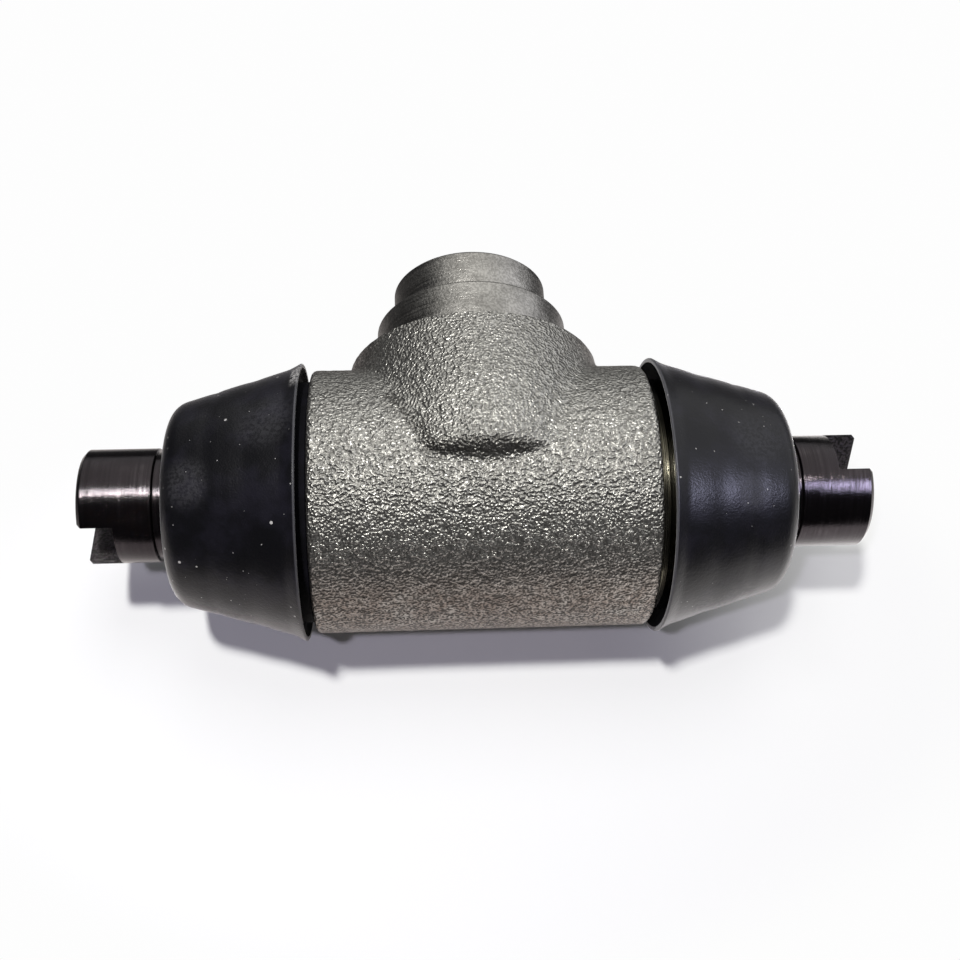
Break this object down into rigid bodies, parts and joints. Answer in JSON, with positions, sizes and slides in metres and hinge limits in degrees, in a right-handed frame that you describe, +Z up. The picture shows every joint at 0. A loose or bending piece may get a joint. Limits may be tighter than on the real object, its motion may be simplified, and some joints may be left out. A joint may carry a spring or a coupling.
{
  "type": "wheel cylinder",
  "caption": "Drum-brake wheel cylinder: T-shaped cast body with a stepped round boss, slotted pistons at both ends and conical rubber dust boots.",
  "frame": {"origin": "centre of the seat that meets the backplate, on the axis of the boss", "axes": "+X along the bore, +Y along the boss through the backplate, +Z up"},
  "size_m": [0.0888, 0.0442, 0.0332],
  "materials": {
    "cast_body": "grainy as-cast grey, turned smooth on the boss steps and end lands",
    "black_steel": "turned and blackened",
    "cup_rubber": "moulded",
    "bright_steel": "bright",
    "boot_rubber": "moulded matt black"
  },
  "bodies": {
    "cylinder": {"cylinder_body": "cast_body", "left_boot": "boot_rubber", "right_boot": "boot_rubber", "return_spring": "bright_steel"},
    "left_seal": {"left_cup": "cup_rubber", "left_expander": "bright_steel"},
    "left_piston": {"left_piston": "black_steel"},
    "right_seal": {"right_cup": "cup_rubber", "right_expander": "bright_steel"},
    "right_piston": {"right_piston": "black_steel"}
  },
  "joints": [
    {"name": "left_slide", "type": "slide", "parent": "cylinder", "child": "left_seal", "axis": [-1, 0, 0], "range_m": [-0.003, 0.006], "deforming": ["left_boot", "return_spring"]},
    {"name": "left_turn", "type": "hinge", "parent": "left_seal", "child": "left_piston", "pos_m": [-0.03, -0.0159, 0], "axis": [-1, 0, 0], "continuous": true},
    {"name": "right_slide", "type": "slide", "parent": "cylinder", "child": "right_seal", "axis": [1, 0, 0], "range_m": [-0.003, 0.006], "deforming": ["right_boot", "return_spring"]},
    {"name": "right_turn", "type": "hinge", "parent": "right_seal", "child": "right_piston", "pos_m": [0.03, -0.0159, 0], "axis": [1, 0, 0], "continuous": true}
  ]
}
